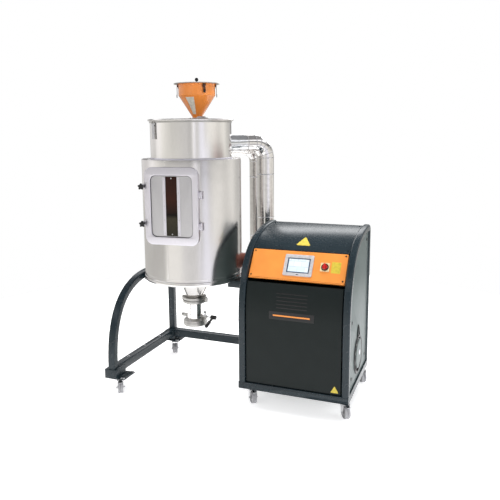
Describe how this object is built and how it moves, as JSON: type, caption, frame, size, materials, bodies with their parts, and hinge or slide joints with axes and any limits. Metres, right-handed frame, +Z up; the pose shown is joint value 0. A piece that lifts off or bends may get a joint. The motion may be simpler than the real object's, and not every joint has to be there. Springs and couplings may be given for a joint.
{
  "type": "mobile granulate dryer",
  "caption": "Insulated drying hopper with sight-glass hatch, loader funnel and outlet flap on an arched stand, ducted to a dry-air cabinet on castors.",
  "frame": {"origin": "centre of the footprint on the floor", "axes": "+X along the cabinet width to the right, +Y to the rear, +Z up"},
  "size_m": [1.6472, 1.1788, 2.1395],
  "materials": {
    "frame_paint": "fine-textured anthracite powder coat",
    "door_paint": "fine-textured dark powder coat",
    "side_paint": "fine-textured grey-green powder coat",
    "console_paint": "satin orange powder coat",
    "feeder_paint": "gloss amber-orange lacquer",
    "stainless": "polished stainless with a vertical grain",
    "satin_steel": "satin stainless",
    "sight_glass": "clear glass before a dark interior",
    "black_plastic": "moulded black plastic",
    "zinc_steel": "bright zinc-plated steel",
    "wheel_grey": "grey rubber tread on a light grey rim",
    "switch_red": "red moulded plastic",
    "switch_yellow": "yellow plate",
    "duct_cladding": "polished sheet cladding with beads and seams",
    "hose_silicone": "red-brown silicone sleeve",
    "cast_metal": "bead-blasted casting"
  },
  "bodies": {
    "machine": {"stand_base": "frame_paint", "stand_arm": "frame_paint", "hopper_bracket": "frame_paint", "cabinet_base": "frame_paint", "cabinet_side_tube_left": "frame_paint", "cabinet_side_tube_right": "frame_paint", "cabinet_hood": "frame_paint", "cabinet_side_panel_left": "side_paint", "cabinet_side_panel_right": "side_paint", "cabinet_rear_panel": "frame_paint", "inlet_guard": "black_plastic", "console_panel": "console_paint", "touch_panel": "satin_steel", "switch_plate": "switch_yellow", "blower_housing": "cast_metal", "desiccant_canister": "stainless", "hopper_vessel": "stainless", "hopper_cone": "stainless", "hopper_jacket": "stainless", "jacket_top_plate": "stainless", "jacket_base_plate": "stainless", "hatch_frame": "stainless", "hinge_bracket_lower": "stainless", "hinge_bracket_upper": "stainless", "outlet_collar": "cast_metal", "outlet_valve": "satin_steel", "air_duct_front": "duct_cladding", "air_duct_rear": "duct_cladding", "hot_air_link": "hose_silicone"},
    "lid": {"hopper_lid": "stainless", "feeder_body": "feeder_paint"},
    "feeder_cover": {"feeder_lid": "cast_metal"},
    "hatch": {"hatch_door": "satin_steel", "hatch_glass": "sight_glass"},
    "upper_knob": {"clamp_knob_upper": "black_plastic"},
    "lower_knob": {"clamp_knob_lower": "black_plastic"},
    "outlet_lever": {"outlet_flap": "black_plastic"},
    "main_switch": {"switch_knob": "switch_red"},
    "service_door": {"cabinet_front_door": "door_paint"},
    "impeller": {"blower_impeller": "stainless"},
    "lid_catch_front": {"lid_latch_front": "zinc_steel"},
    "lid_catch_rear": {"lid_latch_rear": "zinc_steel"},
    "feeder_catch_left": {"feeder_latch_left": "zinc_steel"},
    "feeder_catch_front": {"feeder_latch_front": "zinc_steel"},
    "feeder_catch_right": {"feeder_latch_right": "zinc_steel"},
    "castor_stand_front_swivel": {"castor_stand_front_fork": "zinc_steel"},
    "castor_stand_front_roller": {"castor_stand_front_wheel": "wheel_grey"},
    "castor_stand_rear_swivel": {"castor_stand_rear_fork": "zinc_steel"},
    "castor_stand_rear_roller": {"castor_stand_rear_wheel": "wheel_grey"},
    "castor_cabinet_front_left_swivel": {"castor_cabinet_front_left_fork": "zinc_steel"},
    "castor_cabinet_front_left_roller": {"castor_cabinet_front_left_wheel": "wheel_grey"},
    "castor_cabinet_front_right_swivel": {"castor_cabinet_front_right_fork": "zinc_steel"},
    "castor_cabinet_front_right_roller": {"castor_cabinet_front_right_wheel": "wheel_grey"},
    "castor_cabinet_rear_left_swivel": {"castor_cabinet_rear_left_fork": "zinc_steel"},
    "castor_cabinet_rear_left_roller": {"castor_cabinet_rear_left_wheel": "wheel_grey"},
    "castor_cabinet_rear_right_swivel": {"castor_cabinet_rear_right_fork": "zinc_steel"},
    "castor_cabinet_rear_right_roller": {"castor_cabinet_rear_right_wheel": "wheel_grey"}
  },
  "joints": [
    {"name": "castor_stand_front_turn", "type": "hinge", "parent": "machine", "child": "castor_stand_front_swivel", "pos_m": [-0.75964, -0.50439, 0], "axis": [0, 0, 1], "continuous": true},
    {"name": "castor_stand_front_roll", "type": "hinge", "parent": "castor_stand_front_swivel", "child": "castor_stand_front_roller", "pos_m": [-0.74472, -0.52569, 0.04], "axis": [0.8192, 0.5736, 0], "continuous": true},
    {"name": "castor_stand_rear_turn", "type": "hinge", "parent": "machine", "child": "castor_stand_rear_swivel", "pos_m": [-0.75964, 0.28061, 0], "axis": [0, 0, 1], "continuous": true},
    {"name": "castor_stand_rear_roll", "type": "hinge", "parent": "castor_stand_rear_swivel", "child": "castor_stand_rear_roller", "pos_m": [-0.74472, 0.25931, 0.04], "axis": [0.8192, 0.5736, 0], "continuous": true},
    {"name": "castor_cabinet_front_left_turn", "type": "hinge", "parent": "machine", "child": "castor_cabinet_front_left_swivel", "pos_m": [0.15436, -0.33339, 0], "axis": [0, 0, 1], "continuous": true},
    {"name": "castor_cabinet_front_left_roll", "type": "hinge", "parent": "castor_cabinet_front_left_swivel", "child": "castor_cabinet_front_left_roller", "pos_m": [0.16928, -0.35469, 0.04], "axis": [0.8192, 0.5736, 0], "continuous": true},
    {"name": "castor_cabinet_front_right_turn", "type": "hinge", "parent": "machine", "child": "castor_cabinet_front_right_swivel", "pos_m": [0.77136, -0.33339, 0], "axis": [0, 0, 1], "continuous": true},
    {"name": "castor_cabinet_front_right_roll", "type": "hinge", "parent": "castor_cabinet_front_right_swivel", "child": "castor_cabinet_front_right_roller", "pos_m": [0.78628, -0.35469, 0.04], "axis": [0.8192, 0.5736, 0], "continuous": true},
    {"name": "castor_cabinet_rear_left_turn", "type": "hinge", "parent": "machine", "child": "castor_cabinet_rear_left_swivel", "pos_m": [0.15436, 0.24061, 0], "axis": [0, 0, 1], "continuous": true},
    {"name": "castor_cabinet_rear_left_roll", "type": "hinge", "parent": "castor_cabinet_rear_left_swivel", "child": "castor_cabinet_rear_left_roller", "pos_m": [0.16928, 0.21931, 0.04], "axis": [0.8192, 0.5736, 0], "continuous": true},
    {"name": "castor_cabinet_rear_right_turn", "type": "hinge", "parent": "machine", "child": "castor_cabinet_rear_right_swivel", "pos_m": [0.77136, 0.24061, 0], "axis": [0, 0, 1], "continuous": true},
    {"name": "castor_cabinet_rear_right_roll", "type": "hinge", "parent": "castor_cabinet_rear_right_swivel", "child": "castor_cabinet_rear_right_roller", "pos_m": [0.78628, 0.21931, 0.04], "axis": [0.8192, 0.5736, 0], "continuous": true},
    {"name": "hatch_hinge", "type": "hinge", "parent": "machine", "child": "hatch", "pos_m": [-0.15319, -0.4138, 1.2995], "axis": [0, 0, 1], "range_deg": [0, 115]},
    {"name": "upper_knob_turn", "type": "hinge", "parent": "hatch", "child": "upper_knob", "pos_m": [-0.54838, -0.47386, 1.428], "axis": [-0.0906, 0.9959, 0], "continuous": true},
    {"name": "lower_knob_turn", "type": "hinge", "parent": "hatch", "child": "lower_knob", "pos_m": [-0.54838, -0.47386, 1.183], "axis": [-0.0906, 0.9959, 0], "continuous": true},
    {"name": "lid_lift", "type": "slide", "parent": "machine", "child": "lid", "axis": [0, 0, 1], "range_m": [0, 0.15]},
    {"name": "feeder_cover_lift", "type": "slide", "parent": "lid", "child": "feeder_cover", "axis": [0, 0, 1], "range_m": [0, 0.12]},
    {"name": "lid_catch_front_swing", "type": "hinge", "parent": "machine", "child": "lid_catch_front", "pos_m": [-0.54062, -0.31758, 1.83], "axis": [-0.8387, 0.5446, 0], "range_deg": [0, 90]},
    {"name": "lid_catch_rear_swing", "type": "hinge", "parent": "machine", "child": "lid_catch_rear", "pos_m": [-0.51466, 0.1778, 1.83], "axis": [0.891, 0.454, 0], "range_deg": [0, 90]},
    {"name": "feeder_catch_left_swing", "type": "hinge", "parent": "lid", "child": "feeder_catch_left", "pos_m": [-0.45447, -0.12661, 2.084], "axis": [-0.3746, 0.9272, 0], "range_deg": [0, 90]},
    {"name": "feeder_catch_front_swing", "type": "hinge", "parent": "lid", "child": "feeder_catch_front", "pos_m": [-0.23499, -0.16531, 2.084], "axis": [-0.6691, -0.7431, 0], "range_deg": [0, 90]},
    {"name": "feeder_catch_right_swing", "type": "hinge", "parent": "lid", "child": "feeder_catch_right", "pos_m": [-0.2108, -0.02816, 2.084], "axis": [0.3746, -0.9272, 0], "range_deg": [0, 90]},
    {"name": "outlet_turn", "type": "hinge", "parent": "machine", "child": "outlet_lever", "pos_m": [-0.38464, -0.07739, 0.456], "axis": [1, 0, 0], "range_deg": [0, 90]},
    {"name": "main_switch_turn", "type": "hinge", "parent": "machine", "child": "main_switch", "pos_m": [0.63136, -0.31654, 0.9503], "axis": [0, -0.8224, 0.5689], "range_deg": [0, 90]},
    {"name": "service_door_hinge", "type": "hinge", "parent": "machine", "child": "service_door", "pos_m": [0.14836, -0.41739, 0.505], "axis": [0, 0, -1], "range_deg": [0, 100]},
    {"name": "impeller_spin", "type": "hinge", "parent": "machine", "child": "impeller", "pos_m": [0.65636, -0.09739, 0.33], "axis": [1, 0, 0], "continuous": true}
  ]
}
